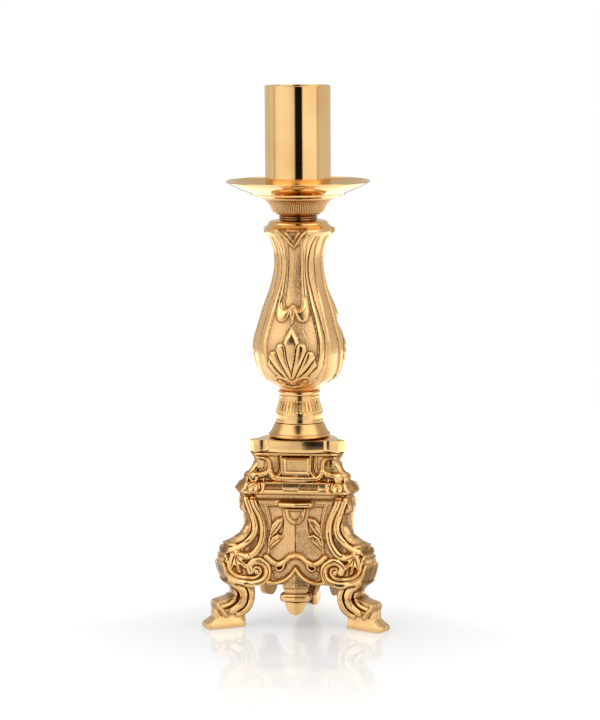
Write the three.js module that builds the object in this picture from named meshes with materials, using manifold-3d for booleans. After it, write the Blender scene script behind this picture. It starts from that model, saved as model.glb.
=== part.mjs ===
// Three-sided cast brass altar candlestick: tripod base of mitred face castings, top plate, collars,
// baluster, fluted cup, loose drip pan and loose candle tube, all drawn together by one tie rod.
// Millimetres, +Z up. The pole axis stands a little in front of the middle of the base's bounding box.
import * as THREE from "three";
import { mergeVertices } from "three/addons/utils/BufferGeometryUtils.js";
import Module from "manifold-3d";

const wasm = await Module();
wasm.setup();

// ---------------------------------------------------------------- driving dimensions
const GAP = 0.3; // clearance between pieces that touch
const SEGMENTS = 32; // sides of the turned pieces
const FINE_SEGMENTS = 44; // sides of the wide drip pan
const AXIS_Y = -10.2; // the pole axis, seen from the middle of the bounding box

const ROD_R = 4; // M8 tie rod
const ROD_HOLE_R = ROD_R + 0.4;
const ROD_LOW = 99;
const ROD_HIGH = 283;

const BASE_TOP = 113.6; // top of the three face castings
const SLAB_TOP = 121.8;
const FLARE_TOP = 131.4;
const FLUTED_TOP = 149.6;
const DISC_TOP = 152.3;
const BALUSTER_TOP = 263;
const NECK_TOP = 266.3;
const CUP_TOP = 278.2;
const PAN_FLOOR = 279.5; // upper side of the drip pan's floor
const TUBE_LOW = PAN_FLOOR + GAP;
const TUBE_TOP = 350;

const TUBE_OUTER_R = 21.25;
const TUBE_INNER_R = 20.25; // takes a 40 mm candle
const LIFT_HOLE_R = 7; // the pan and the tube floor lift off over the pricket
const PRICKET_R = 5.7;
const PRICKET_TIP = 320;

// ---------------------------------------------------------------- helpers
const group = new THREE.Group();

const FINISHES = {
  polished: { color: 0xd9ae68, roughness: 0.22, metalness: 1 },
  satin: { color: 0xcfa263, roughness: 0.42, metalness: 1 },
  steel: { color: 0xb4b6b8, roughness: 0.35, metalness: 1 },
};

function addPart(name, geometry, finish) {
  geometry.computeVertexNormals();
  const mesh = new THREE.Mesh(geometry, new THREE.MeshStandardMaterial(FINISHES[finish]));
  mesh.name = name;
  mesh.position.y = AXIS_Y;
  group.add(mesh);
}

function indexed(positions, index) {
  const geometry = new THREE.BufferGeometry();
  geometry.setAttribute("position", new THREE.Float32BufferAttribute(positions, 3));
  geometry.setIndex(index);
  return geometry;
}

// Turns a closed outline of [radius, height] points, listed anticlockwise, about the pole axis.
function revolve(outline, segments = SEGMENTS) {
  const positions = [];
  const rings = outline.map(([r, z]) => {
    const first = positions.length / 3;
    const count = r === 0 ? 1 : segments;
    for (let k = 0; k < count; k++) {
      const turn = (2 * Math.PI * k) / segments;
      positions.push(r * Math.cos(turn), r * Math.sin(turn), z);
    }
    return { first, count };
  });
  const index = [];
  rings.forEach((low, i) => {
    const high = rings[(i + 1) % rings.length];
    for (let k = 0; k < segments; k++) {
      const next = (k + 1) % segments;
      const a = low.first + (k % low.count);
      const b = low.first + (next % low.count);
      const c = high.first + (next % high.count);
      const d = high.first + (k % high.count);
      if (low.count > 1) index.push(a, b, c);
      if (high.count > 1) index.push(a, c, d);
    }
  });
  return indexed(positions, index);
}

// Joins level outlines of [x, y] points, all with the same number of points, anticlockwise from above.
function loft(levels) {
  const size = levels[0].points.length;
  const positions = [];
  for (const { z, points } of levels) {
    for (const [x, y] of points) positions.push(x, y, z);
  }
  const index = [];
  for (let level = 0; level < levels.length - 1; level++) {
    for (let k = 0; k < size; k++) {
      const a = level * size + k;
      const b = level * size + ((k + 1) % size);
      index.push(a, b, b + size, a, b + size, a + size);
    }
  }
  const capOf = (points) => THREE.ShapeUtils.triangulateShape(points.map((p) => new THREE.Vector2(...p)), []);
  for (const [a, b, c] of capOf(levels[0].points)) index.push(c, b, a);
  const top = (levels.length - 1) * size;
  for (const [a, b, c] of capOf(levels.at(-1).points)) index.push(top + a, top + b, top + c);
  return indexed(positions, index);
}

// A flat outline of [x, y] points pulled up from one height to another, with round holes on the axis.
function prism(points, low, high, holeR) {
  const shape = new THREE.Shape(points.map((p) => new THREE.Vector2(...p)));
  if (holeR) shape.holes.push(new THREE.Path().absarc(0, 0, holeR, 0, 2 * Math.PI, true));
  const geometry = new THREE.ExtrudeGeometry(shape, { depth: high - low, bevelEnabled: false, curveSegments: 24 });
  return geometry.translate(0, 0, low);
}

function toSolid(geometry) {
  const bare = geometry.clone();
  bare.deleteAttribute("normal");
  bare.deleteAttribute("uv");
  const merged = mergeVertices(bare, 1e-4);
  const mesh = new wasm.Mesh({
    numProp: 3,
    vertProperties: new Float32Array(merged.attributes.position.array),
    triVerts: new Uint32Array(merged.index.array),
  });
  return new wasm.Manifold(mesh);
}

function subtract(body, tool) {
  const { vertProperties, triVerts } = toSolid(body).subtract(toSolid(tool)).getMesh();
  return indexed(Array.from(vertProperties), Array.from(triVerts));
}

const ring = (inner, outer, low, high) => [[inner, low], [outer, low], [outer, high], [inner, high]];

// A smooth stretch of outline through a few [radius, height] points.
function smooth(points, divisions) {
  const curve = new THREE.SplineCurve(points.map((p) => new THREE.Vector2(...p)));
  return curve.getPoints(divisions).map((p) => [p.x, p.y]);
}

function hexagon(acrossFlats) {
  const r = acrossFlats / Math.sqrt(3);
  return Array.from({ length: 6 }, (_, k) => [r * Math.cos((k * Math.PI) / 3), r * Math.sin((k * Math.PI) / 3)]);
}

// ---------------------------------------------------------------- candle tube and its floor
addPart("candle_tube", revolve(ring(TUBE_INNER_R, TUBE_OUTER_R, TUBE_LOW, TUBE_TOP)), "polished");

const FLOOR_DISC_T = 1.4; // brazed inside the lower end of the tube
const FLOOR_DISC_R = TUBE_INNER_R - GAP;
const DISC_FACE = TUBE_LOW + FLOOR_DISC_T;
addPart("tube_floor_disc", revolve(ring(LIFT_HOLE_R, FLOOR_DISC_R, TUBE_LOW, DISC_FACE)), "satin");

// ---------------------------------------------------------------- drip pan
const PAN_RIM_R = 46.7;
const PAN_RIM_Z = 288.2;
const PAN_T = 1.1;
const panUnderside = [
  [LIFT_HOLE_R, PAN_FLOOR - PAN_T],
  [24.5, PAN_FLOOR - PAN_T],
  ...smooth([[28.8, 279.3], [34, 280.3], [40, 282.6], [44.4, 285.4], [PAN_RIM_R, PAN_RIM_Z]], 7),
];
const panInside = [
  ...smooth([[PAN_RIM_R - 0.7, PAN_RIM_Z + 0.7], [43.6, 286.4], [39.4, 283.7], [33.6, 281.4], [28.4, 280.4]], 6),
  [25, PAN_FLOOR],
  [LIFT_HOLE_R, PAN_FLOOR],
];
addPart("drip_pan", revolve([...panUnderside, ...panInside], FINE_SEGMENTS), "polished");

// ---------------------------------------------------------------- pricket and tie rod
const PRICKET_LOW = 276.8;
const pricketOutline = [
  [0, ROD_HIGH + GAP],
  [ROD_R + 0.15, ROD_HIGH + GAP],
  [ROD_R + 0.15, PRICKET_LOW],
  [PRICKET_R, PRICKET_LOW],
  [PRICKET_R, 288],
  [2.6, 296],
  [1.7, 308],
  [0, PRICKET_TIP],
];
addPart("candle_pricket", revolve(pricketOutline, 24), "satin");
addPart("tie_rod", revolve([[0, ROD_LOW], [ROD_R, ROD_LOW], [ROD_R, ROD_HIGH], [0, ROD_HIGH]], 24), "steel");

// ---------------------------------------------------------------- fluted cup with its nut and washer
const CUP_WALL = 2.4;
const CUP_LOW = NECK_TOP + GAP;
const CUP_FLOOR = CUP_LOW + 2.4;
const cupOutline = [
  [ROD_HOLE_R, CUP_LOW],
  [13, CUP_LOW],
  ...smooth([[15.3, 266.9], [18.1, 269], [19.3, 271.5], [20.3, 274], [22.4, 276.8], [24.2, CUP_TOP]], 6),
  [24.2 - CUP_WALL, CUP_TOP],
  [19.4, 276.2],
  [17.2, 272],
  [14.5, CUP_FLOOR],
  [ROD_HOLE_R, CUP_FLOOR],
];
addPart("fluted_cup", revolve(cupOutline), "satin");

const WASHER_T = 1.6;
const NUT_T = 5;
const cupWasherLow = CUP_FLOOR + GAP;
const cupNutLow = cupWasherLow + WASHER_T + GAP;
addPart("cup_washer", revolve(ring(ROD_HOLE_R, 8, cupWasherLow, cupWasherLow + WASHER_T), 24), "steel");
addPart("cup_nut", prism(hexagon(13), cupNutLow, cupNutLow + NUT_T, ROD_HOLE_R), "steel");

// ---------------------------------------------------------------- neck ring
const neckOutline = [
  [ROD_HOLE_R, BALUSTER_TOP + GAP],
  ...smooth([[12.6, BALUSTER_TOP + GAP], [13.7, 263.9], [13.1, 264.75], [13.7, 265.6], [12.6, NECK_TOP]], 6),
  [ROD_HOLE_R, NECK_TOP],
];
addPart("neck_ring", revolve(neckOutline), "satin");

// ---------------------------------------------------------------- baluster
const BALUSTER_LOW = DISC_TOP + GAP;
const balusterSkin = [
  [13, BALUSTER_LOW],
  [16.1, 155.5],
  [19.7, 158.2],
  ...smooth([[22.4, 159.5], [26, 164.8], [28.6, 171.5], [29.7, 180], [28.8, 187.2], [25.3, 199], [21.5, 210.8]], 11),
  ...smooth([[18.3, 220], [16.4, 227.8], [15.5, 236], [16.4, 244.8], [18.3, 250], [20.8, 253.9]], 8),
  ...smooth([[22.4, 255.3], [23.1, 256.7], [22, 259.1], [19.6, 261.7]], 4),
  [17.6, BALUSTER_TOP],
];
const END_WEB = 5; // thickness of the baluster's closed ends
const balusterHollow = [
  [ROD_HOLE_R, BALUSTER_TOP],
  [ROD_HOLE_R, BALUSTER_TOP - END_WEB],
  [15, BALUSTER_TOP - END_WEB],
  [12, 238],
  [15, 218],
  [25.8, 186],
  [25.5, 174],
  [18, BALUSTER_LOW + END_WEB + 3],
  [ROD_HOLE_R, BALUSTER_LOW + END_WEB + 3],
  [ROD_HOLE_R, BALUSTER_LOW],
];
addPart("baluster", revolve([...balusterSkin, ...balusterHollow]), "satin");

// ---------------------------------------------------------------- collars between base and baluster
addPart("collar_disc", revolve(ring(ROD_HOLE_R, 13.7, FLUTED_TOP + GAP, DISC_TOP)), "polished");

const flutedOutline = [
  [ROD_HOLE_R, FLARE_TOP + GAP],
  [15.5, FLARE_TOP + GAP],
  ...smooth([[15.3, 134.5], [15.4, 138], [14.6, 141], [13.5, 144], [12.6, 148]], 6),
  [12.5, FLUTED_TOP],
  [ROD_HOLE_R, FLUTED_TOP],
];
addPart("fluted_collar", revolve(flutedOutline), "satin");

const flaredOutline = [
  [ROD_HOLE_R, SLAB_TOP + GAP],
  [19, SLAB_TOP + GAP],
  ...smooth([[20.4, 123.1], [19.1, 125], [17.5, 127.7], [16.2, FLARE_TOP]], 5),
  [ROD_HOLE_R, FLARE_TOP],
];
addPart("flared_collar", revolve(flaredOutline), "polished");

// ---------------------------------------------------------------- the three-sided plan
// A face is drawn in its own plane: "across" runs along the face, "out" is the distance from the axis.
const SIN60 = Math.sin(Math.PI / 3);
const COS60 = 0.5;
const TAN60 = Math.sqrt(3);

// A point at radial distance "reach" along the right-hand corner, set "side" towards the face.
const onCorner = (reach, side) => [reach * SIN60 - side * COS60, reach * COS60 + side * SIN60];
const mirrored = (points) => points.map(([across, out]) => [-across, out]).reverse();

// Face coordinates to plan coordinates: face 0 looks along -Y, the others are turned by thirds.
function place([across, out], face) {
  const turn = (face * 2 * Math.PI) / 3;
  const [x, y] = [across, -out];
  return [x * Math.cos(turn) - y * Math.sin(turn), x * Math.sin(turn) + y * Math.cos(turn)];
}

// ---------------------------------------------------------------- top plate
const SLAB_REACH = 34;
const SLAB_FACET = 7.5;
const slabSide = [[18.5, 21.5], [22, 19], onCorner(SLAB_REACH, SLAB_FACET / 2)];
const slabPlan = [0, 1, 2].flatMap((face) => [...mirrored(slabSide), ...slabSide].map((p) => place(p, face)));
addPart("top_plate", prism(slabPlan, BASE_TOP + GAP, SLAB_TOP, ROD_HOLE_R), "polished");

// ---------------------------------------------------------------- base face castings
const WALL = 3.5;
const CORNER_WALL = 4.5;
const RIDGE_HALF = 10; // the middle ridge fades out this far from the centre line

// Each level: height, reach of the corner facet, its width, how far out the face stands, ridge height.
const FACE_LEVELS = [
  [0, 67.4, 12.6, 27, 2],
  [3.4, 67.4, 12.6, 27, 2],
  [6.6, 62.6, 12.6, 27, 2],
  [9.5, 61.6, 12.6, 27, 2],
  [14, 61.6, 12.6, 27, 2],
  [18, 60.4, 12.6, 27, 2],
  [20.8, 49.4, 12.6, 27, 2],
  [24.5, 49, 12.6, 27, 2],
  [30.9, 55, 12.6, 26.2, 1.2],
  [36.4, 56, 12.6, 25.4, 0.9],
  [43.2, 58, 12.4, 25.2, 1],
  [48.5, 56, 12, 25.2, 2],
  [53.2, 53, 11.4, 24.6, 2],
  [55.4, 52.4, 11, 24.4, 2],
  [59, 44.4, 10.4, 24.1, 2],
  [64, 39.4, 9.6, 23.8, 2],
  [69.5, 37.5, 9, 23.8, 2],
  [74.5, 38.6, 8.4, 23.8, 2],
  [78, 42, 8, 24, 2],
  [83.4, 41.1, 7.8, 24, 2],
  [84, 41.1, 7.8, 22.5, 0],
  [87, 41.8, 7.8, 22.5, 0],
  [87.8, 42.4, 7.6, 26.6, 0],
  [90.2, 44, 7.5, 27.6, 0],
  [95, 40.2, 7.5, 24.6, 0],
  [97.4, 38.4, 7.5, 22.4, 0],
  [99.4, 37.8, 7.5, 22, 0],
  [99.9, 37.6, 7.5, 19.6, 0],
  [102.5, 34.3, 7.5, 19.4, 0],
  [107.5, 30.6, 7.5, 19.2, 0],
  [BASE_TOP, 34, 7.5, 20, 0],
];

function facePlan([, reach, facet, out, ridge]) {
  const arris = onCorner(reach, facet / 2);
  // The leg runs parallel to its corner, so the face meets it where this line reaches the face's depth.
  const legLine = (across) => (across * COS60 + facet / 2) / SIN60;
  const meet = (out - facet / 2 / SIN60) * TAN60;
  const bend = Math.min(meet - 3, arris[0] - 4);
  const rise = Math.min(meet + 3, arris[0] - 1.5);
  const inner = out - WALL;
  const innerReach = Math.min(2 * inner - 2, reach - CORNER_WALL);
  const front = [
    [RIDGE_HALF, out],
    [bend, out],
    [rise, Math.max(out, legLine(rise))],
    arris,
    onCorner(reach, GAP / 2),
    onCorner(innerReach, GAP / 2),
    [(innerReach - inner * COS60) / SIN60, inner],
  ];
  return [...mirrored(front), [0, out + ridge], ...front];
}

// The opening between two legs, as it is cut through a face, with the pendant left hanging in it.
const ARCH_TOP = 28.7;
const archHalf = [
  [9.2, ARCH_TOP],
  [27, ARCH_TOP],
  [27, 17],
  [29.5, 11.5],
  [34.5, 6.6],
  [33.4, 3.6],
  [33.4, -1],
];
const DROP_HALF = 6.7;
const DROP_TOP = 17.2;
const DROP_LOW = 8.7;
// The two rear pendants hang a little higher than the front one.
const REAR_RISE = 4.3;
const dropCurve = [0, 0.25, 0.5, 0.75, 1].map((part) => {
  const turn = (part * Math.PI) / 2;
  return [DROP_HALF * Math.sin(turn), DROP_TOP - (DROP_TOP - DROP_LOW) * Math.cos(turn)];
});
const pendantHalf = [...dropCurve, [10, DROP_TOP + 0.4], [10, 22.2], [7.2, 22.8]];
const otherSide = (points) => points.map(([across, z]) => [-across, z]).reverse();

function archTool(face) {
  const rise = face === 0 ? 0 : REAR_RISE;
  const pendant = pendantHalf.map(([across, z]) => [across, z + rise]);
  const outline = [...otherSide(pendant), ...pendant.slice(1), ...archHalf, ...otherSide(archHalf)];
  const shape = new THREE.Shape(outline.map((p) => new THREE.Vector2(...p)));
  const tool = new THREE.ExtrudeGeometry(shape, { depth: 80, bevelEnabled: false });
  return tool.rotateX(Math.PI / 2).rotateZ((face * 2 * Math.PI) / 3);
}

[0, 1, 2].forEach((face) => {
  const levels = FACE_LEVELS.map((level) => ({
    z: level[0],
    points: facePlan(level).map((p) => place(p, face)),
  }));
  addPart(`base_face_${face + 1}`, subtract(loft(levels), archTool(face)), "satin");
});

// ---------------------------------------------------------------- fixings under the top plate
const lowWasherHigh = BASE_TOP;
const lowWasherLow = lowWasherHigh - WASHER_T;
const lockHigh = lowWasherLow - GAP;
const lockLow = lockHigh - 1.2;
const lowNutHigh = lockLow - GAP;
addPart("lower_washer", revolve(ring(ROD_HOLE_R, 11, lowWasherLow, lowWasherHigh), 24), "steel");
addPart("lock_washer", revolve(ring(ROD_HOLE_R, 7, lockLow, lockHigh), 24), "steel");
addPart("lower_nut", prism(hexagon(13), lowNutHigh - 6.5, lowNutHigh, ROD_HOLE_R), "steel");

export default group;
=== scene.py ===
"""Brass altar candlestick: the visual model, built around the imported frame.

Lengths in the helpers are millimetres from the stem's axis; make_object turns them into metres.
A base face is drawn in its own plane: "across" runs along the face, "out" is the distance from the axis.
"""
import math

import bpy
import numpy as np
from mathutils import Matrix, Vector
from numpy.lib.stride_tricks import sliding_window_view


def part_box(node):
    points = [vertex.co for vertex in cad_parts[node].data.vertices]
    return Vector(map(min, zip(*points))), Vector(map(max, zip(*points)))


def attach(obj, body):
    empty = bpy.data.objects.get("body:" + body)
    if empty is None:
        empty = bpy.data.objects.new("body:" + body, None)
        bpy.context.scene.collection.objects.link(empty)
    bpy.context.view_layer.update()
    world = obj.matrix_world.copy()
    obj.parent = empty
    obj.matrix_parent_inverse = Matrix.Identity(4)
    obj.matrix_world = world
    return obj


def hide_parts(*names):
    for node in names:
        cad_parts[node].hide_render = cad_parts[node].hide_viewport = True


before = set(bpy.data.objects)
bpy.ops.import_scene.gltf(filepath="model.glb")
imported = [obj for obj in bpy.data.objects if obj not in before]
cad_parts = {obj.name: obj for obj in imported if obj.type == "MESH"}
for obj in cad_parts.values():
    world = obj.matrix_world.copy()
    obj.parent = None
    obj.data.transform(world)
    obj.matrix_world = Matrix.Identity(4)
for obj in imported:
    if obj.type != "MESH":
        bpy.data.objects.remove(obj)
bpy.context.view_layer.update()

MM = 0.001
tube_low, tube_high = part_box("candle_tube")
AXIS_FOOT = ((tube_low + tube_high) / 2).xy.to_3d()
SIN60 = math.sin(math.pi / 3)
COS60 = 0.5
THIRD_TURN = 2 * math.pi / 3
BORE = 4.4  # radius of the hole for the tie rod
MIRROR_MARGIN = 4  # how far an outline is carried on past the mirror line
BURIED = -9  # below any ground, so that it never shows


# -------- curves and relief
def smoothstep(low, high, value):
    part = np.clip((value - low) / (high - low), 0, 1)
    return part * part * (3 - 2 * part)


def spline(points, per_span=8):
    """Points of a smooth curve through the given points."""
    p = np.array([points[0], *points, points[-1]], float)
    p[0] = 2 * p[1] - p[2]
    p[-1] = 2 * p[-2] - p[-3]
    t = np.linspace(0, 1, per_span, endpoint=False)[:, None]
    spans = []
    for a, b, c, d in zip(p, p[1:], p[2:], p[3:]):
        square = 2 * a - 5 * b + 4 * c - d
        cube = 3 * b - a - 3 * c + d
        spans.append(0.5 * (2 * b + (c - a) * t + square * t**2 + cube * t**3))
    return np.vstack([*spans, p[-2:-1]])


def steps_of(path):
    return np.hypot(*(path[1:] - path[:-1]).T)


def resampled(path, count):
    """Evenly spaced points along a path."""
    length = np.concatenate([[0], np.cumsum(steps_of(path))])
    at = np.linspace(0, length[-1], count)
    return np.stack([np.interp(at, length, path[:, 0]), np.interp(at, length, path[:, 1])], -1)


def distance_to(u, v, path):
    """Distance from each grid point to a path, and how far along it the nearest point is, from 0 to 1."""
    steps = steps_of(path)
    total = steps.sum()
    nearest = np.full(u.shape, 1e3)
    along = np.zeros(u.shape)
    done = 0.0
    for (au, av), (bu, bv), step in zip(path, path[1:], steps):
        du, dv = bu - au, bv - av
        part = np.clip(((u - au) * du + (v - av) * dv) / max(step * step, 1e-12), 0, 1)
        gap = np.hypot(u - au - part * du, v - av - part * dv)
        closer = gap < nearest
        nearest[closer] = gap[closer]
        along[closer] = (done + part[closer] * step) / total
        done += step
    return nearest, along


def inside(u, v, corners):
    """Distance to a closed outline, positive inside it."""
    closed = np.vstack([corners, corners[:1]])
    nearest, _ = distance_to(u, v, closed)
    crossed = np.zeros(u.shape, bool)
    for (au, av), (bu, bv) in zip(closed, closed[1:]):
        if av == bv:
            continue
        spans = (av > v) != (bv > v)
        crossed ^= spans & (u < (bu - au) * (v - av) / (bv - av) + au)
    return np.where(crossed, nearest, -nearest)


def past_middle(corners):
    """The outline, carried on beyond the mirror line, so that its edge doesn't show there."""
    outline = np.array(corners, float)
    over = outline[:, 0] < 0
    if not (over[0] and over[-1]):
        return outline
    return np.vstack([outline[:1] - (MIRROR_MARGIN, 0), outline, outline[-1:] - (MIRROR_MARGIN, 0)])


class Relief:
    """Height above a ground surface over a grid of (u, v) points, with the share of it that is burnished."""

    def __init__(self, u, v):
        self.u = u
        self.v = v
        self.height = np.zeros(u.shape)
        self.polish = np.zeros(u.shape)

    def near(self, points, margin):
        low = np.min(points, axis=0) - margin
        high = np.max(points, axis=0) + margin
        return (self.u >= low[0]) & (self.u <= high[0]) & (self.v >= low[1]) & (self.v <= high[1])

    def stroke(self, points, width, curved=True, taper=(1, 1)):
        """Grid points near a stroke: how full it is there, its scale, and how far past its edge they lie."""
        path = spline(points) if curved else np.array(points, float)
        here = self.near(path, width)
        gap, along = distance_to(self.u[here], self.v[here], path)
        scale = taper[0] + (taper[1] - taper[0]) * along
        half = width / 2 * scale
        return here, np.clip(1 - (gap / half) ** 2, 0, 1), scale, gap - half

    def area(self, corners, curved=False):
        """Grid points near a closed outline, and how deep inside it they lie."""
        outline = spline([*corners, corners[0]])[:-1] if curved else past_middle(corners)
        here = self.near(outline, 0.5)
        return here, inside(self.u[here], self.v[here], outline)

    def lay(self, here, body, polish):
        """Keeps the higher and the brighter of what is there and what is laid over it."""
        self.height[here] = np.maximum(self.height[here], body)
        self.polish[here] = np.maximum(self.polish[here], polish)

    def rib(self, points, width, height, curved=True, taper=(1, 1), crown=0.6):
        """A raised, burnished band; a low crown makes its top flatter."""
        here, full, scale, _ = self.stroke(points, width, curved, taper)
        body = np.where(full > 0, height * (0.35 + 0.65 * scale) * full**crown, BURIED)
        self.lay(here, body, smoothstep(0, 0.35, full))

    def groove(self, points, width, depth, curved=True, taper=(1, 1)):
        here, full, _, _ = self.stroke(points, width, curved, taper)
        self.height[here] -= depth * full**0.8

    def plate(self, corners, height, edge=0.8, polish=1.0, curved=False):
        """A raised area with a rounded edge."""
        here, depth = self.area(corners, curved)
        body = np.where(depth > 0, height * np.sin(np.clip(depth / edge, 0, 1) * math.pi / 2), BURIED)
        self.lay(here, body, polish * smoothstep(0, edge, depth))

    def sink(self, corners, depth, edge=0.5, polish=0.0):
        """Lowers an area below the ground around it; polish is the share of its shine that is left."""
        here, inward = self.area(corners)
        well = smoothstep(0, edge, inward)
        self.height[here] -= depth * well
        self.polish[here] *= 1 - (1 - polish) * well

    def leaf(self, points, width, height, taper):
        """A lobe that lies over what is under it, with a dark outline."""
        here, full, _, beyond = self.stroke(points, width, taper=taper)
        rim = np.clip(1 - (beyond / 0.7) ** 2, 0, 1)
        ground = np.minimum(self.height[here], self.height[here] * (1 - rim) + 0.1 * rim)
        shine = 0.9 * smoothstep(0, 0.3, full)
        self.height[here] = np.where(full > 0, height * full**0.32, ground)
        self.polish[here] = np.where(full > 0, shine, self.polish[here] * (1 - rim))

    def dome(self, centre, radius, height, flat=2):
        gap = np.hypot(self.u - centre[0], self.v - centre[1]) / radius
        here = gap < 1
        self.lay(here, height * np.sqrt(1 - gap[here] ** flat), smoothstep(1, 0.8, gap[here]))


# -------- meshes
def low_high(node):
    """Lowest and highest level of a piece of the frame."""
    low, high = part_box(node)
    return low.z / MM, high.z / MM


def store(mesh, label, values):
    """Gives a mesh one number per point, for its material to read."""
    layer = mesh.attributes.new(label, "FLOAT", "POINT")
    layer.data.foreach_set("value", np.asarray(values, np.float32).ravel())


def points_of(mesh):
    """A mesh's points in millimetres about the stem's axis."""
    co = np.zeros(len(mesh.vertices) * 3)
    mesh.vertices.foreach_get("co", co)
    return (co.reshape(-1, 3) - AXIS_FOOT) / MM


def make_object(name, points, faces):
    """A mesh object from points in millimetres about the stem's axis and a list of face index arrays."""
    mesh = bpy.data.meshes.new(name)
    points = np.asarray(points, float) * MM + AXIS_FOOT
    sizes = np.concatenate([np.full(len(f), f.shape[1]) for f in faces])
    mesh.vertices.add(len(points))
    mesh.vertices.foreach_set("co", points.ravel())
    mesh.loops.add(sizes.sum())
    mesh.loops.foreach_set("vertex_index", np.concatenate([f.ravel() for f in faces]))
    mesh.polygons.add(len(sizes))
    mesh.polygons.foreach_set("loop_start", np.concatenate([[0], np.cumsum(sizes)[:-1]]))
    mesh.polygons.foreach_set("loop_total", sizes)
    mesh.update(calc_edges=True)
    thing = bpy.data.objects.new(name, mesh)
    bpy.context.scene.collection.objects.link(thing)
    return thing


def ring_faces(rows, size, closed):
    """Quads between rows of rings, each ring a closed loop; closed joins the last row to the first."""
    index = np.arange(rows * size).reshape(rows, size)
    low = index if closed else index[:-1]
    high = np.roll(index, -1, axis=0) if closed else index[1:]
    return np.stack([low, np.roll(low, -1, 1), np.roll(high, -1, 1), high], -1).reshape(-1, 4)


def ring_solid(name, rings):
    """A solid whose skin is a loop of rings, each an array of the same number of points."""
    rings = np.asarray(rings, float)
    rows, size, _ = rings.shape
    return make_object(name, rings.reshape(-1, 3), [ring_faces(rows, size, True)])


def turned(outline, segments=160, wave=None):
    """Rings from a closed outline of [radius, height] points, listed anticlockwise."""
    turn = np.linspace(0, 2 * math.pi, segments, endpoint=False)
    rings = []
    for r, z in outline:
        radius = r + (wave(turn, r, z) if wave else 0 * turn)
        rings.append(np.stack([radius * np.cos(turn), radius * np.sin(turn), z + 0 * turn], -1))
    return rings


def dress(thing, node, material, body="stand", sharp=50):
    """Shades a finished mesh and puts it in the place of a piece of the frame; sharp is in degrees."""
    thing.data.shade_smooth()
    thing.data.set_sharp_from_angle(angle=math.radians(sharp))
    thing.data.materials.clear()
    thing.data.materials.append(material)
    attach(thing, body)
    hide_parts(node)


# -------- materials
class Nodes:
    """Short calls for building the node tree of a material or a world."""

    def __init__(self, owner):
        owner.use_nodes = True
        self.owner = owner
        self.tree = owner.node_tree
        self.shader = self.tree.nodes.get("Principled BSDF")

    def add(self, kind, **settings):
        node = self.tree.nodes.new(kind)
        for key, value in settings.items():
            setattr(node, key, value)
        return node

    def feed(self, target, source):
        """Gives an input a number, a colour, or the output of another node."""
        if isinstance(source, tuple):
            target.default_value = (*source, 1)
        elif isinstance(source, (int, float)):
            target.default_value = source
        else:
            self.tree.links.new(source, target)

    def surface(self, label, source):
        self.feed(self.shader.inputs[label], source)

    def noise(self, scale, detail=3.0, stretch=(1, 1, 1)):
        mapping = self.add("ShaderNodeMapping")
        self.feed(mapping.inputs["Vector"], self.add("ShaderNodeTexCoord").outputs["Object"])
        mapping.inputs["Scale"].default_value = stretch
        noise = self.add("ShaderNodeTexNoise")
        self.feed(noise.inputs["Vector"], mapping.outputs["Vector"])
        self.feed(noise.inputs["Scale"], scale)
        self.feed(noise.inputs["Detail"], detail)
        return noise.outputs["Fac"]

    def remap(self, source, low, high, out_low=0, out_high=1):
        node = self.add("ShaderNodeMapRange")
        labels = ("Value", "From Min", "From Max", "To Min", "To Max")
        for label, value in zip(labels, (source, low, high, out_low, out_high)):
            self.feed(node.inputs[label], value)
        return node.outputs["Result"]

    def maths(self, operation, *sources):
        node = self.add("ShaderNodeMath", operation=operation)
        for socket, source in zip(node.inputs, sources):
            self.feed(socket, source)
        return node.outputs["Value"]

    def mix(self, factor, first, second, kind="RGBA"):
        """A blend of two colours, or of two numbers where kind is FLOAT."""
        node = self.add("ShaderNodeMix", data_type=kind)
        in_a, in_b, out = (6, 7, 2) if kind == "RGBA" else (2, 3, 0)
        self.feed(node.inputs["Factor"], factor)
        self.feed(node.inputs[in_a], first)
        self.feed(node.inputs[in_b], second)
        return node.outputs[out]

    def attribute(self, name):
        return self.add("ShaderNodeAttribute", attribute_name=name).outputs["Fac"]

    def bump(self, layers):
        """Lays (height, distance in metres) layers of bump one over another."""
        normal = None
        for height, distance in layers:
            node = self.add("ShaderNodeBump")
            self.feed(node.inputs["Distance"], distance)
            self.feed(node.inputs["Height"], height)
            if normal is not None:
                self.feed(node.inputs["Normal"], normal)
            normal = node.outputs["Normal"]
        self.surface("Normal", normal)


GOLD = (0.87, 0.58, 0.27)
GOLD_DEEP = (0.82, 0.50, 0.20)
CAST_GOLD = (0.83, 0.51, 0.24)
# painted shade: darker copies of the gold, for the flared collar
SHADED_GOLD = (0.7, 0.42, 0.18)
SHADED_GOLD_DEEP = (0.62, 0.34, 0.12)
# dark brown of the painted shade in the hollows, and of the real cast speckle
RECESS = (0.22, 0.10, 0.03)
ZINC = (0.62, 0.63, 0.65)
ZINC_DULL = (0.46, 0.46, 0.45)


def new_metal(name):
    """Nodes of a new metal, still without colour or roughness."""
    n = Nodes(bpy.data.materials.new(name))
    n.surface("Metallic", 1.0)
    return n


def polished_brass(name, roughness=0.02, stretch=(1, 1, 60), colours=(GOLD, GOLD_DEEP)):
    """Lathe-polished brass: faint turning lines, smears and slight colour drift."""
    n = new_metal(name)
    n.surface("Base Color", n.mix(n.remap(n.noise(35, 2), 0.35, 0.7), *colours))
    lines = n.noise(90, 4, stretch)
    smears = n.noise(18, 3)
    wear = n.maths("ADD", n.remap(lines, 0.3, 0.7, -0.01, 0.02), n.remap(smears, 0.35, 0.75, 0, 0.03))
    n.surface("Roughness", n.maths("ADD", wear, roughness))
    n.bump([(lines, 0.00001)])
    return n.owner


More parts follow.
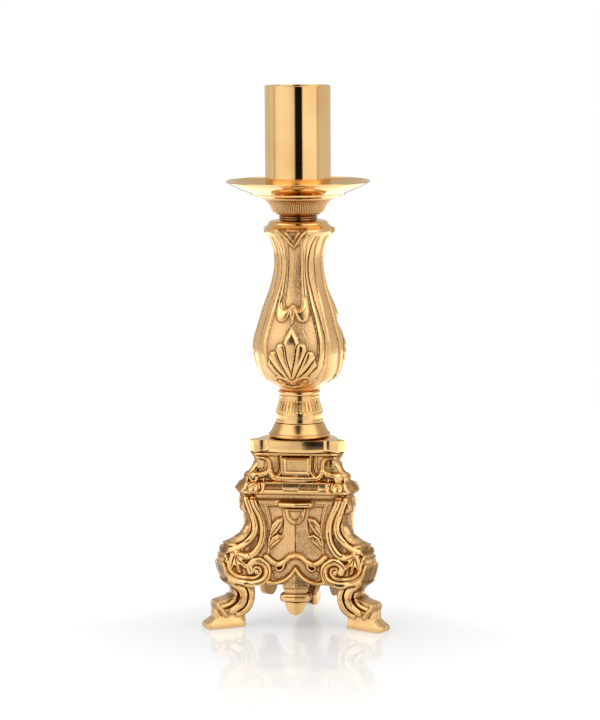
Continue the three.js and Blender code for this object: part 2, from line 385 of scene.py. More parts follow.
def cast_brass(name):
    """Cast brass with burnished ribs, satin ground and painted shade, a warm dark brown, in the hollows."""
    n = new_metal(name)
    polish = n.attribute("polish")
    ground = n.maths("SUBTRACT", 1.0, polish)
    bright = n.mix(n.remap(n.noise(60, 3), 0.3, 0.7), GOLD, GOLD_DEEP)
    speckle = n.maths("MULTIPLY", n.remap(n.noise(1100, 2), 0.5, 0.75, 0, 0.2), ground)
    # painted shade: the hollow mask, broken up by noise, darkens the hollows
    painted_hollow_shade = n.maths("MULTIPLY", n.attribute("hollow"), n.remap(n.noise(220, 3), 0.25, 0.6, 0.75, 1))
    speckle_and_painted_shade = n.maths("MAXIMUM", painted_hollow_shade, speckle)
    # the real cast speckle and the painted shade both pull the colour towards dark brown
    n.surface("Base Color", n.mix(speckle_and_painted_shade, n.mix(polish, CAST_GOLD, bright), RECESS))
    fine = n.noise(700, 3)
    rough_ground = n.remap(fine, 0.3, 0.7, 0.22, 0.38)
    rough_rib = n.remap(fine, 0.3, 0.7, 0.07, 0.17)
    n.surface("Roughness", n.mix(polish, rough_ground, rough_rib, "FLOAT"))
    grain = n.noise(1500, 2)
    pits = n.noise(800, 2)
    scored = n.noise(1400, 3, (1, 1, 0.12))
    on_ground = [(grain, 0.00012), (pits, 0.0001), (scored, 0.00026)]
    layers = [(n.maths("MULTIPLY", height, ground), distance) for height, distance in on_ground]
    n.bump([*layers, (n.noise(260, 2), 0.0001)])
    return n.owner


def zinc_steel(name):
    """Zinc-plated fixings with cloudy plating and fine grain."""
    n = new_metal(name)
    cloud = n.remap(n.noise(400, 4), 0.3, 0.7)
    n.surface("Base Color", n.mix(cloud, ZINC, ZINC_DULL))
    n.surface("Roughness", n.remap(cloud, 0, 1, 0.25, 0.45))
    n.bump([(n.noise(1800, 2), 0.00003)])
    return n.owner


TURNED = polished_brass("turned_brass")
SATIN_TURNED = polished_brass("satin_turned_brass", roughness=0.13)
# painted shade: a darker copy of the turned brass, for the flared collar
SHADED_TURNED = polished_brass("darker_turned_brass", roughness=0.14, colours=(SHADED_GOLD, SHADED_GOLD_DEEP))
FLAT = polished_brass("filed_brass", roughness=0.12, stretch=(40, 40, 1))
CAST = cast_brass("cast_brass")
STEEL = zinc_steel("zinc_steel")


# -------- base faces
# Height, reach of the corner facet, its width, how far out the face stands, and its swell in the middle.
FACE_LEVELS = np.array([
    (0, 67, 13, 27, 2),
    (0.5, 67.5, 13.2, 27, 2),
    (2.8, 67.5, 13.2, 27, 2),
    (3.4, 66.8, 12.8, 27, 2),
    (6.2, 62.8, 11.2, 27, 2),
    (7, 61.6, 10.8, 27, 2),
    (13.6, 61.6, 11, 27, 2),
    (17.2, 61.4, 11.2, 27, 2),
    (18.2, 59.4, 11.4, 27, 2),
    (19.2, 53.6, 11.4, 27, 2),
    (20.8, 48.8, 11.6, 27, 2),
    (24, 48.4, 11.6, 27, 2),
    (26.6, 50.6, 12, 27, 2),
    (30.6, 55.2, 12.4, 26.2, 1.2),
    (31.6, 53.6, 12.4, 26, 1.2),
    (36.4, 56, 12.4, 25.4, 0.9),
    (43.2, 58, 12.2, 25.2, 1),
    (47.5, 56.5, 12, 25.2, 2.2),
    (53, 53.4, 11.4, 24.6, 2.3),
    (55.4, 53, 11, 24.4, 2.3),
    (56.2, 50, 10.8, 24.3, 2.3),
    (58, 46, 10.4, 24.2, 2.3),
    (60.5, 42, 10, 24, 2.3),
    (63, 40, 9.6, 23.8, 2.2),
    (66, 38.3, 9.2, 23.8, 2.2),
    (69.5, 37.5, 9, 23.8, 2.1),
    (74, 38.1, 8.4, 23.9, 2),
    (76.2, 41.6, 8.2, 24, 2),
    (78, 42.2, 8, 24, 2),
    (81, 41.2, 7.8, 24, 2),
    (83.5, 41.1, 7.8, 24, 1.5),
    (84, 41.1, 7.8, 22.6, 0),
    (87, 41.8, 7.8, 22.6, 0),
    (87.5, 42.4, 7.6, 26, 0),
    (88.4, 43.2, 7.6, 27.4, 0),
    (90, 44, 7.5, 27.4, 0),
    (92, 42.6, 7.5, 26, 0),
    (94.8, 40.3, 7.5, 24.8, 0),
    (95.4, 39.8, 7.5, 21.4, 0),
    (97.4, 38.4, 7.5, 20.4, 0),
    (99.8, 37.4, 7.5, 19.8, 0),
    (102.5, 34.3, 7.5, 19.4, 0),
    (107.5, 30.8, 7.5, 19.2, 0),
    (111, 32, 7.5, 19.4, 0),
    (112.4, 33.4, 7.5, 21, 0),
    (113.6, 33.8, 7.5, 21.2, 0),
])
FACE_TOP = FACE_LEVELS[-1, 0]
WALL = 3.5
CORNER_WALL = 4.5
MITRE_GAP = 0.15  # half the gap between neighbouring faces
CREASE_HALF = 13  # how far the swell in the middle of a face reaches to each side
REAR_RISE = 4.3  # how much higher the rear pendants hang
TABLET_SHIFT = 2.8  # how far the two sunk panels of the cornice stand to the left


def die(r):
    """Upper die: polished block with flared sides on a rounded lip."""
    r.plate([(-1, 99), (9.4, 99), (9.3, 111), (-1, 111)], 2.2, edge=0.6)
    r.sink([(-1, 100.2), (7.8, 100.2), (8, 110.6), (-1, 110.6)], 1.1, edge=1.8, polish=1)
    r.rib([(9.6, 111.4), (9.3, 104), (9.7, 101), (12, 98.6)], 1.7, 2.7)
    r.groove([(11.4, 111.4), (11.1, 104.6), (11.9, 101.4), (14, 99.4)], 1, 0.9)
    r.rib([(13.1, 111.4), (13, 106.6), (13.4, 103.6)], 1.5, 1.3, taper=(1, 0.6))
    r.rib([(-1, 97.2), (10, 97.2), (14.2, 97.8), (16.4, 100), (16.8, 102)], 4.4, 3.6, taper=(1, 0.8))
    r.rib([(-1, 112.6), (30, 112.6)], 1.6, 0.9)


def die_scrolls(r):
    """C scrolls that wrap the corners of the die."""
    r.rib([(25, 110.4), (20, 110), (17.6, 107.8), (17.2, 104.2), (18.7, 100.9), (22.4, 99.4), (27, 98.8)],
          4.2, 2.8, taper=(0.4, 1))
    for step in (0.05, 0.16, 0.27, 0.38):
        strand = [(17.2 + 9 * step, 103.4 - 10 * step), (20 + 9 * step, 105 - 10 * step)]
        r.groove(strand, 0.6, 0.5)
    r.plate([(20.8, 108.8), (24.8, 109), (25.4, 103.4), (22, 103), (20.4, 105.6)], 0.9, edge=0.8, polish=0.25)


def cornice(r, across):
    """Cornice with sunk panels, a little to one side, and stacked knobs at each corner."""
    r.plate([(-1, 88), (40, 88), (40, 95), (-1, 95)], 0.5, edge=0.6)
    r.u = np.abs(across + TABLET_SHIFT)
    r.sink([(4.8, 90.2), (17.6, 90.2), (18, 94), (6.2, 94)], 1.8, edge=0.35)
    r.u = np.abs(across)
    r.rib([(-1, 88.5), (40, 88.5)], 2.6, 1.7)
    r.rib([(-1, 95), (19.6, 95)], 1.2, 1.3)
    r.dome((27.4, 91.9), 3.6, 3, flat=3)
    r.dome((27.6, 97.9), 3.3, 2.8, flat=3)
    r.groove([(23.2, 95.6), (22.6, 91.6), (24, 88.8)], 1.1, 1.2)
    r.rib([(21.4, 97), (20.4, 93.4), (21.4, 89.4)], 2, 1.8, taper=(0.7, 1))
    r.rib([(31, 100.4), (32.4, 96.6), (32.6, 92.4), (34.6, 89.6)], 2.6, 1.8)
    r.groove([(25.4, 92.6), (27.6, 93.6), (29.6, 91.6)], 0.7, 0.6)


def field(r):
    """The big panel with its border, shield and branches."""
    r.plate([(-1, 80.8), (24, 80.8), (24, 83.6), (-1, 83.6)], 0.7, edge=0.5, polish=0.6)
    r.plate([(-1, 83.8), (40, 83.8), (40, 87.4), (-1, 87.4)], 0.3, edge=0.4, polish=0.8)
    r.sink([(8.6, 79.6), (18.6, 79.6), (17, 73), (16, 66), (15.9, 54), (12, 55.6), (8, 62), (7.4, 69),
            (8, 74)], 1.1, edge=0.7)
    r.groove([(0, 67.6), (0, 49)], 0.9, 0.8)
    r.rib([(20.2, 80.2), (12, 80.6)], 1.3, 1)
    r.rib([(20.4, 81), (18.4, 73.4), (16.9, 66), (16.8, 58), (17.8, 49)], 1.3, 1)
    r.plate([(-1, 67.8), (3.2, 68.6), (5.7, 71.4), (6.6, 75), (7.2, 79), (-1, 79)], 2.4, edge=0.9)
    r.sink([(-1, 70), (2.2, 70.5), (3.9, 72.6), (4.6, 75.2), (5, 77.6), (-1, 77.6)], 1.7, edge=0.9,
           polish=0.15)
    r.rib([(-1, 80.7), (8, 80.7), (9.6, 80.8)], 4.4, 3.6)
    r.groove([(-1, 78.6), (7.8, 78.6)], 0.8, 1)
    r.rib([(18.2, 48.6), (17.7, 54), (17.1, 59), (15.4, 63)], 1.2, 1.4)
    leaf_a = [(7.6, 72.4), (8.8, 66.6), (12, 61.6), (16.8, 57.6), (17.8, 61.6), (16.2, 67), (12.6, 71.2)]
    leaf_b = [(7.4, 60.2), (10.8, 55.6), (14.4, 52.8), (17.8, 49.6), (17.8, 55), (15.6, 59.4), (11.8, 61.6)]
    for outline in (leaf_a, leaf_b):
        r.plate(outline, 2, edge=1.5, polish=0.8)
    r.groove([(16, 60.6), (12.8, 64.8), (9.8, 69.2)], 0.7, 0.9)
    r.groove([(17, 52.8), (14, 56.2), (9.6, 59.2)], 0.7, 0.9)


def side_bands(r):
    """S and C bands at the sides of the field, and the pocket between them."""
    r.sink([(23.4, 61), (25.9, 62), (28.4, 57.4), (32.8, 53.6), (35, 49), (30, 48.4), (26.4, 50.4),
            (24.4, 54.4)], 1.1, edge=0.8)
    r.rib([(28, 84), (26.4, 79.4), (23.2, 73.4), (21.4, 66.8), (21.3, 60.6), (22.8, 54.6), (25.8, 49.8),
           (29, 46.8)], 4.6, 2.5, crown=0.35)
    r.groove([(25.4, 83), (23.6, 78.2), (21.1, 72.4), (19.6, 66.4), (19.5, 60), (21, 53.8), (23.6, 48.8)],
             0.8, 0.8)
    r.plate([(24.8, 50.6), (28.4, 49.4), (32, 48.8), (36.6, 48.8), (34.6, 45.8), (31.6, 43.6), (28.4, 44.8),
             (25.6, 47.4)], 2.1, edge=0.9)
    r.rib([(32, 84), (30.6, 79), (28, 72.6), (26.4, 66), (27.6, 60.6), (31.8, 55.4), (37, 52.6), (43, 51.2)],
          4, 2.7, crown=0.35)
    r.groove([(34, 83), (32.2, 78), (30.2, 72), (28.7, 66), (29.8, 61.6), (33.6, 57), (38.6, 54.6)], 0.9, 1.2)
    r.groove([(31.6, 74), (30.6, 68), (31.4, 63.4), (34.6, 59.4)], 0.8, 0.6)


def ribbon(r):
    """Ribbon over the middle, with its hooks, and the lambda moulding under it."""
    r.sink([(-1, 47), (6, 43), (12, 38.5), (15.6, 37), (15.4, 31.4), (10, 30.8), (5, 33.6), (-1, 40)], 0.9,
           edge=0.7)
    r.rib([(-0.6, 47.8), (3.6, 46.6), (7.6, 43.2), (11.4, 41.4), (15.6, 43), (19.4, 46.4)], 3.8, 3)
    r.groove([(7.2, 45.6), (11.2, 43.4), (15, 45), (17.4, 47.6)], 0.7, 0.8)
    r.rib([(7.4, 42), (8.4, 38.8), (10.8, 37.4), (12.8, 38.8), (12.4, 41)], 1.9, 2.6, taper=(1, 0.8))
    r.rib([(-0.4, 39.4), (3, 34.8), (7.6, 31.2), (12.4, 29.6), (18, 29.4)], 2.6, 2.7)
    r.plate([(-1, 38.6), (0.4, 38.2), (3.8, 33.6), (9, 30), (9.6, 26), (-1, 26)], 0.9, edge=0.8, polish=0.45)


def volute(r):
    """Corner volute: broad outer band, second band, eye, and the acanthus between."""
    r.rib([(29.6, 36.4), (30.2, 40), (27.4, 42.9), (23.2, 43.1), (19.3, 40.8), (18.3, 36.5), (19.6, 32.2),
           (23, 29.7), (28, 28.4), (34, 28.8), (40, 31.2), (45, 35.4), (47.2, 41)], 5.4, 3, taper=(0.92, 1),
          crown=0.4)
    r.groove([(25, 43.4), (20.6, 42.1), (17.9, 38.4), (17.9, 34.4), (20.4, 30.6), (25, 28.4)], 0.7, 0.8)
    r.rib([(43, 43.6), (42.2, 38.9), (38.6, 34.6), (33.4, 32.6), (28.8, 32.2), (25, 33.3), (22.9, 36.4),
           (24, 39), (26.6, 39), (27.4, 37)], 3, 2.5, taper=(1, 0.85))
    r.dome((25.6, 36.4), 2, 2.9)
    r.plate([(38.6, 50.6), (33.4, 49.4), (29.2, 47.4), (28.6, 44.4), (31.6, 43.4), (33.6, 43.9), (30.8, 40.6),
             (30.6, 37.6), (33.6, 38), (36, 40.6), (34.6, 37), (35.2, 34.4), (38, 36.6), (39.2, 40.6),
             (41.2, 37.6), (43, 40.6), (43.4, 46), (42.6, 50)], 2.9, edge=1.7, polish=0.9)
    for middle, tip in (((34.6, 46.2), (31, 44.4)), ((36.4, 44.4), (32.8, 40.2)), ((38.2, 44), (36.6, 37.6)),
                        ((40.2, 45), (41, 41))):
        r.groove([(38.8, 48.6), middle, tip], 0.8, 0.8, taper=(1, 0.6))
    r.dome((38.4, 49.6), 2.7, 3.2)

    # corner leaf above the volute
    r.rib([(47, 57), (42.6, 55.2), (38, 53.6)], 2.6, 1.8, taper=(0.6, 1))
    r.groove([(47, 52), (43.4, 50.4), (42.2, 47.4)], 1, 1)
    r.rib([(49.6, 47), (46.6, 48.4), (44, 46.6), (44, 44)], 2, 1.6)


def leg_bands(r):
    """Broad C mouldings parted by grooves, and the toe."""
    r.rib([(36, 27.8), (30.6, 25.4), (29.2, 20.6), (30.2, 15), (34.2, 10.2), (37.4, 8.4)], 3.6, 1.1,
          crown=0.35)
    r.rib([(42, 28.4), (35.6, 25), (34, 20), (35.6, 15), (40.8, 11.2)], 5, 1.5, crown=0.4)
    r.rib([(44.6, 26.4), (40, 23.2), (39.4, 19.8), (41.6, 16.4), (46.6, 14.4)], 2.6, 1.9)
    r.groove([(38.5, 28.8), (33.2, 26.6), (31, 22), (31.3, 17.4), (33.8, 12.6), (38, 9.8)], 1.1, 1.7)
    r.groove([(43.6, 27.6), (39, 24.8), (37.2, 21), (38.2, 16.8), (41.6, 13.8), (46, 12.4)], 1.1, 1.7)
    r.groove([(39.6, 26), (35.8, 23), (35, 19), (37, 15)], 0.6, 0.5)
    r.rib([(44.6, 8), (47, 12), (51, 16.6)], 3, 1.5, taper=(0.7, 1))
    r.groove([(47.6, 8), (50.2, 12), (54, 15.4)], 1, 0.9)


def pendant_front(r, v):
    """Moulding with a slot line over the rounded drop."""
    r.v = v
    drop_round = np.sqrt(np.clip(1 - (r.u / 9) ** 2, 0, 1)) - 0.5
    low = smoothstep(18, 16.6, r.v) * (r.u < 9.2) * (r.v > 6)
    r.height = r.height + low * 2.6 * drop_round
    r.plate([(-1, 17.3), (8.6, 17.3), (9.9, 18.6), (9.9, 21.2), (8.6, 22.5), (-1, 22.5)], 2.2, edge=0.9)
    r.groove([(-1, 20.6), (6.4, 20.6)], 0.7, 1)


def face_relief(across, z, rise):
    """The cast ornament of one base face, mirrored about its middle."""
    r = Relief(np.abs(across), z)
    die(r)
    die_scrolls(r)
    cornice(r, across)
    field(r)
    side_bands(r)
    ribbon(r)
    volute(r)
    leg_bands(r)
    pendant_front(r, z - rise)
    burnished = [
        smoothstep(95, 96, z) * 0.85,
        smoothstep(8, 6.6, z) * 0.45,
        smoothstep(30, 34, r.u) * smoothstep(57, 62, z) * 0.8,
        smoothstep(27, 25, z) * 0.55,
    ]
    return r.height, np.maximum.reduce([r.polish, *burnished])


def on_corner(reach, side):
    """Place (across, out) of a point this far along the right-hand corner and this far beside it."""
    return reach * SIN60 - side * COS60, reach * COS60 + side * SIN60


def face_surface(across, z, levels, rise):
    """How far out the front of a face stands."""
    reach, facet, out, crease = levels
    arris_across, arris_out = on_corner(reach, facet / 2)
    a = np.abs(across)
    leg = (a * COS60 + facet / 2) / SIN60
    blend = 1.6
    gap = out - leg
    body = 0.5 * (out + leg + np.sqrt(gap**2 + blend**2)) - blend / 2 * np.exp(-((gap / 3) ** 2))
    shoulder = smoothstep(arris_across - 4.5, arris_across, a)
    body = body + (arris_out - body) * shoulder * (body > arris_out)
    body = body + crease * np.clip(1 - a / CREASE_HALF, 0, 1)
    height, polish = face_relief(across, z, rise)
    edge = np.clip((arris_across - a) / 1.6, 0, 1)
    height = height * np.minimum(1, 0.25 + edge)
    return body + height - 0.5 * (1 - edge) ** 2, polish, height


def face_levels(z):
    """The level table read off at each height, slightly softened."""
    offsets = np.linspace(-0.5, 0.5, 5)
    return [np.mean([np.interp(z + o, FACE_LEVELS[:, 0], FACE_LEVELS[:, k]) for o in offsets], axis=0)
            for k in range(1, 5)]


def arch_outline(rise):
    """Outline of the opening between two legs, with the pendant hanging in it."""
    leg_edge = spline([(27.4, 26), (26.9, 21.5), (27.6, 16), (30, 10.8), (34.4, 6.8)], 6).tolist()
    right = [(8.8, 28.4), (12, 28), (18, 28.2), (24, 27.8), (27, 27.4), *leg_edge,
             (33.6, 6.2), (33.4, 3.6), (33.2, -2)]
    turns = np.linspace(0, math.pi / 2, 14)
    drop = [(6.7 * math.sin(t), 17.2 - 8.5 * math.cos(t)) for t in turns]
    pendant = [*drop, (8.9, 17.2), (10.1, 18.4), (10.1, 21.4), (8.8, 22.7), (7.3, 23)]
    pendant = [(a, z + rise) for a, z in pendant]
    funnel = spline([pendant[-1], (7.7, 25.4 + rise * 0.6), (8.8, 28.4)], 4)[1:-1].tolist()
    half = [*pendant, *funnel, *right]
    return np.array([*half, *[(-a, z) for a, z in reversed(half[1:])]])


def arch_tool(rise):
    """A bar with the arch's outline, from in front of the face to just short of the axis."""
    front, back = -70.0, -1.0
    outline = arch_outline(rise)
    count = len(outline)
    near = np.stack([outline[:, 0], np.full(count, front), outline[:, 1]], -1)
    far = near + np.array([0, back - front, 0])
    side = ring_faces(2, count, False)
    caps = np.arange(2 * count).reshape(2, count)
    caps[0] = caps[0][::-1]
    return make_object("arch_tool", np.vstack([near, far]), [side, caps])


def cut(thing, tool):
    """Takes the tool's volume out of a thing, then removes the tool."""
    modifier = thing.modifiers.new("cut", "BOOLEAN")
    modifier.operation = "DIFFERENCE"
    modifier.solver = "MANIFOLD"
    modifier.object = tool
    graph = bpy.context.evaluated_depsgraph_get()
    mesh = bpy.data.meshes.new_from_object(thing.evaluated_get(graph))
    thing.modifiers.clear()
    old = thing.data
    thing.data = mesh
    bpy.data.meshes.remove(old)
    bpy.data.objects.remove(tool)


def blurred(values, cells, wrap=False):
    """Three box averages over the grid, which come close to a round blur."""
    for axis in (0, 1, 0, 1, 0, 1):
        mode = "wrap" if wrap and axis == 1 else "edge"
        margin = [(cells, cells) if k == axis else (0, 0) for k in (0, 1)]
        windows = sliding_window_view(np.pad(values, margin, mode=mode), 2 * cells + 1, axis)
        values = windows.mean(-1)
    return values


def hollowness(height, wrap=False):
    """How far each point lies under the relief around it, close by and wider, from 0 to 1: the mask for
    painted shade.
    """
    fine = (blurred(height, 1, wrap) - height) / 0.16
    wide = (blurred(height, 4, wrap) - height) / 0.62
    return np.clip(np.clip(fine, 0, 1) * 0.6 + np.clip(wide, 0, 1) * 0.38, 0, 1)


def face_points(columns, rows, rise):
    """Level outlines of one base face, from the floor up, with its burnish and hollows."""
    heights = np.linspace(0, FACE_TOP, rows)
    levels = [v[:, None] for v in face_levels(heights)]
    row = np.zeros((1, columns))
    arris, _ = on_corner(levels[0], levels[1] / 2)
    across = np.linspace(-1, 1, columns)[None, :] * arris
    out, polish, height = face_surface(across, heights[:, None] + row, [v + row for v in levels], rise)
    reach = levels[0][:, 0]
    inner = levels[2][:, 0] - WALL
    inner_reach = np.minimum(2 * inner - 2, reach - CORNER_WALL)
    tip = on_corner(reach + 0.8 * smoothstep(24, 30, heights), MITRE_GAP)
    back = on_corner(inner_reach, MITRE_GAP)
    corner = ((inner_reach - inner * COS60) / SIN60, inner)
    right = [tip, back, corner]
    inside_wall = [*right, *[(-a, o) for a, o in reversed(right)]]
    plan_across = np.column_stack([across, *[a for a, _ in inside_wall]])
    plan_out = np.column_stack([out, *[o for _, o in inside_wall]])
    plan_z = heights[:, None] + np.zeros(plan_across.shape)
    return np.stack([plan_across, -plan_out, plan_z], -1), polish, hollowness(height)


def paint_face(thing, polish, hollow):
    """Burnish and painted shade of the cut casting, read off the grid that shaped its front."""
    mesh = thing.data
    co = points_of(mesh)
    levels = face_levels(co[:, 2])
    arris, _ = on_corner(levels[0], levels[1] / 2)
    rows, columns = polish.shape
    row = np.clip(co[:, 2] / FACE_TOP * (rows - 1), 0, rows - 1.001)
    column = np.clip((co[:, 0] / arris + 1) / 2 * (columns - 1), 0, columns - 1.001)
    i, j = row.astype(int), column.astype(int)
    front = -co[:, 1] > levels[2] - 1.2

    def read(grid):
        low = grid[i, j] * (1 - column + j) + grid[i, j + 1] * (column - j)
        high = grid[i + 1, j] * (1 - column + j) + grid[i + 1, j + 1] * (column - j)
        return low * (1 - row + i) + high * (row - i)

    store(mesh, "polish", np.where(front, read(polish), 0.2))
    # painted shade: the hollows of the front, and strong shade on the faces behind the front
    store(mesh, "hollow", np.where(front, read(hollow), 0.85))


def build_face(number):
    columns, rows = ((280, 320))
    rise = 0 if number == 1 else REAR_RISE
    points, polish, hollow = face_points(columns, rows, rise)
    size = points.shape[1]
    caps = np.arange(size)[None, :]
    faces = [ring_faces(rows, size, False), caps[:, ::-1], caps + (rows - 1) * size]
    casting = make_object(f"base_face_casting_{number}", points.reshape(-1, 3), faces)
    cut(casting, arch_tool(rise))
    paint_face(casting, polish, hollow)
    centre = Matrix.Translation(AXIS_FOOT)
    turn = Matrix.Rotation((number - 1) * THIRD_TURN, 4, "Z")
    casting.data.transform(centre @ turn @ centre.inverted())
    dress(casting, f"base_face_{number}", CAST, sharp=62)


# -------- baluster
BALUSTER_LOW, BALUSTER_TOP = low_high("baluster")
# Radius of the ground the ornament lies on, and its height.
BALUSTER_SKIN = [
    (12.6, BALUSTER_LOW), (13.4, 153.3), (16.1, 155.3), (19.7, 157.9), (22.6, 159.8), (24.6, 162),
    (26.2, 164.8), (27.8, 168.6), (28.9, 172.7), (29.6, 178), (29.5, 184), (28.7, 188), (27.2, 193),
    (25.2, 199.4), (23.4, 205.5), (21.4, 211), (19.4, 216.4), (17.8, 221.8), (16.6, 227.4), (15.8, 232.6),
    (15.6, 237.6), (15.9, 242.2), (16.7, 246), (18, 249.6), (19.6, 252.4), (21.4, 254.3), (22.7, 255.4),
    (23.2, 256.6), (22.8, 258), (21.6, 259.4), (20.4, 260.8), (19.2, 262.2), (17.6, BALUSTER_TOP),
]
BALUSTER_TURN = math.radians(-4)  # turns the front panel a little to the photographer's left


def baluster_relief(turn, z, radius):
    """Ornament of one of the three panels; turn is the angle from the panel's middle."""
    r = Relief(np.abs(turn) * radius, z)

    def at(degrees, height):
        local = np.interp(height, [p[1] for p in BALUSTER_SKIN], [p[0] for p in BALUSTER_SKIN])
        return math.radians(degrees) * local, height

    def line(*pairs):
        return [at(*pair) for pair in pairs]

    # plain strips between the panels
    strip = np.abs(r.u - math.radians(60) * radius)
    half = math.radians(9) * radius
    between_ends = smoothstep(154, 160, z) * smoothstep(262, 254, z)
    r.height += 0.55 * np.clip(1 - (strip / half) ** 4, 0, 1) * between_ends
    r.polish = np.maximum(r.polish, 0.75 * smoothstep(1, 0.8, strip / half))
    r.groove(line((50.5, 254), (50.5, 240), (50.5, 215), (50.5, 190), (50.5, 170), (50, 158)), 1.3, 0.8)

    # main ribs that frame the panel
    rib = line((39, 257), (33.5, 250), (28.5, 240), (28, 228), (33.5, 214), (38, 201), (40.5, 187),
               (38.6, 174), (31, 164), (18, 157.6))
    path = spline(rib)
    gap, _ = distance_to(r.u, r.v, path)
    half = math.radians(5.2) * radius
    across = np.clip(1 - (gap / half) ** 2, 0, 1)
    r.height = np.maximum(r.height, 1.25 * across**0.6)
    r.polish = np.maximum(r.polish, smoothstep(0, 0.4, across))
    r.groove(line((44.6, 254), (40.4, 247), (35.6, 238), (35, 227), (40, 214), (44.6, 201), (47, 187),
                  (45, 172)), 0.9, 0.7)

    # V at the head of the panel
    r.sink(line((-2, 257.6), (10.5, 257.6), (0, 251.8)), 0.9, edge=0.5)
    r.rib(line((24.5, 258.4), (12, 251.8), (-1, 246)), 1.6, 1.6, curved=False)
    r.rib(line((14.6, 258.2), (-1, 250)), 1.1, 1.5)

    # long sunk band with its polished borders and bulbs
    r.sink(line((-2, 249), (6, 247.5), (16, 250), (17, 240), (17, 226), (17.5, 212), (15, 208.4), (8, 207.4),
                (2, 209.6), (-2, 209.6)), 0.95, edge=0.6)
    r.rib(line((26, 254), (23.6, 247), (22.4, 238), (22.2, 228), (23, 218), (23.4, 211), (21, 206)), 3.1, 1.2,
          taper=(0.8, 1.1))
    r.plate(line((24.6, 240), (24.8, 230), (26, 221), (28.6, 213), (29.4, 206), (26, 201.4), (19.6, 199.4),
                 (12.4, 199.6), (6, 202.4), (2.4, 206.6), (5, 208.6), (9.4, 207.6), (14.6, 208),
                 (18.2, 210.6), (19.6, 216), (20.2, 224), (20.8, 230), (21.4, 240)), 1.9, edge=2.6,
            polish=1, curved=True)
    r.rib(line((3.4, 206.4), (1.6, 202.6), (0, 198.6)), 1.3, 1.2)

    # palmette and the leaves under it
    r.sink(line((-3, 162), (5, 166), (11.6, 175), (12.6, 184), (10, 190), (5, 194.6), (0, 198)), 0.6,
           edge=0.9)
    r.plate(line((-3, 163), (4, 167), (9.6, 175), (12.4, 184), (9.4, 189.6), (4, 194), (0, 197), (-3, 197)),
            1.9, edge=3, polish=1)
    lobes = [((3, 162), (11, 163.4), (20, 166.6), (28, 172.4), 5.8),
             ((3, 162.6), (10.4, 166), (18, 171.4), (24.4, 177.4), 6.6),
             ((1.6, 163), (5.4, 168.6), (10, 175.6), (13.4, 182.4), 6.8)]
    for *stroke, width in lobes:
        r.leaf(line(*stroke), width, 1.9, taper=(0.26, 1))
    r.rib(line((1, 159.8), (7, 162), (15, 163.4), (22.6, 163.4), (27, 160.8), (23.6, 158), (16, 158.4)),
          2.6, 2, taper=(1, 0.8))
    r.rib(line((2, 156.2), (14, 157), (26, 158.6), (36, 162)), 2, 1.7, taper=(1, 0.7))
    r.dome(at(0, 160), 2.2, 2)

    # plain turned cap
    cap = smoothstep(252.6, 256.4, z) * smoothstep(0, 1, np.clip((r.u - math.radians(22) * radius) / 2, 0, 1))
    head = np.maximum(cap, smoothstep(258.4, 259.6, z))
    return r.height * (1 - head), np.maximum(r.polish, head)


def build_baluster():
    columns, rows = ((420, 224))
    path = resampled(spline(BALUSTER_SKIN, 12), rows)
    base = path[:, :1]
    z = path[:, 1:] + np.zeros((1, columns))
    angle = np.linspace(0, 2 * math.pi, columns, endpoint=False)[None, :]
    turn = (angle - BALUSTER_TURN + math.pi / 2 + THIRD_TURN / 2) % THIRD_TURN - THIRD_TURN / 2
    height, polish = baluster_relief(turn + np.zeros(z.shape), z, base + np.zeros(z.shape))
    fade = smoothstep(BALUSTER_LOW, BALUSTER_LOW + 3, z) * smoothstep(BALUSTER_TOP, BALUSTER_TOP - 2, z)
    radius = base + (height - 0.7) * fade
    outer = np.stack([radius * np.cos(angle), radius * np.sin(angle), z], -1)
    inner = [(BORE, BALUSTER_TOP), (BORE, 258), (15, 257), (12, 238), (15, 218), (25.4, 186), (25, 174),
             (18, 160.6), (BORE, 160.6), (BORE, BALUSTER_LOW)]
    thing = ring_solid("baluster_casting", [*outer, *turned(inner, columns)])
    extra = len(inner) * columns
    store(thing.data, "polish", np.concatenate([polish.ravel(), np.zeros(extra)]))
    # painted shade: the hollows of the ornament, and half shade on the inner faces
    store(thing.data, "hollow", np.concatenate([hollowness(height, wrap=True).ravel(), np.full(extra, 0.5)]))
    dress(thing, "baluster", CAST, sharp=62)


# -------- turned pieces
def arc(centre, radii, start, end, count):
    """Points of part of an ellipse, angles in degrees."""
    return [(centre[0] + radii[0] * math.cos(t), centre[1] + radii[1] * math.sin(t))
            for t in np.radians(np.linspace(start, end, count))]


def build_tube():
    low, high = low_high("candle_tube")
    outer, inner = 21.25, 20.25
    rim = arc((20.75, high - 0.35), (0.5, 0.35), 0, 180, 7)
    outline = [(inner, low), (outer - 0.2, low), (outer, low + 0.2), (outer, low + 0.6), (outer, high - 1),
               *rim, (inner, high - 1), (inner, low + 0.4)]
    tube = ring_solid("candle_tube_skin", turned(outline, 192))
    dress(tube, "candle_tube", TURNED, body="tube")


def build_pan():
    low, _ = low_high("drip_pan")
    under = [(7, low), (24.4, low), (24.8, 278.7), (28.2, 278.9), (29, 279.6), (30.6, 279.9), (31, 280.8),
             *spline([(31.8, 281), (34, 281.9), (37.4, 283.3), (41, 284.9), (44.6, 286.8), (46.4, 288)],
                     5).tolist()]
    rim = arc((46.2, 288.2), (0.55, 0.6), -20, 190, 8)
    bowl = spline([(45.4, 288.2), (43, 286.9), (39.4, 285.2), (34.5, 283.1), (30.2, 281.4), (27, 280.2),
                   (25.2, 279.6)], 5).tolist()
    outline = [*under, *rim, *bowl, (24.4, 279.5), (7, 279.5)]
    pan = ring_solid("drip_pan_spun", turned(outline, 192))
    dress(pan, "drip_pan", TURNED, body="pan", sharp=40)


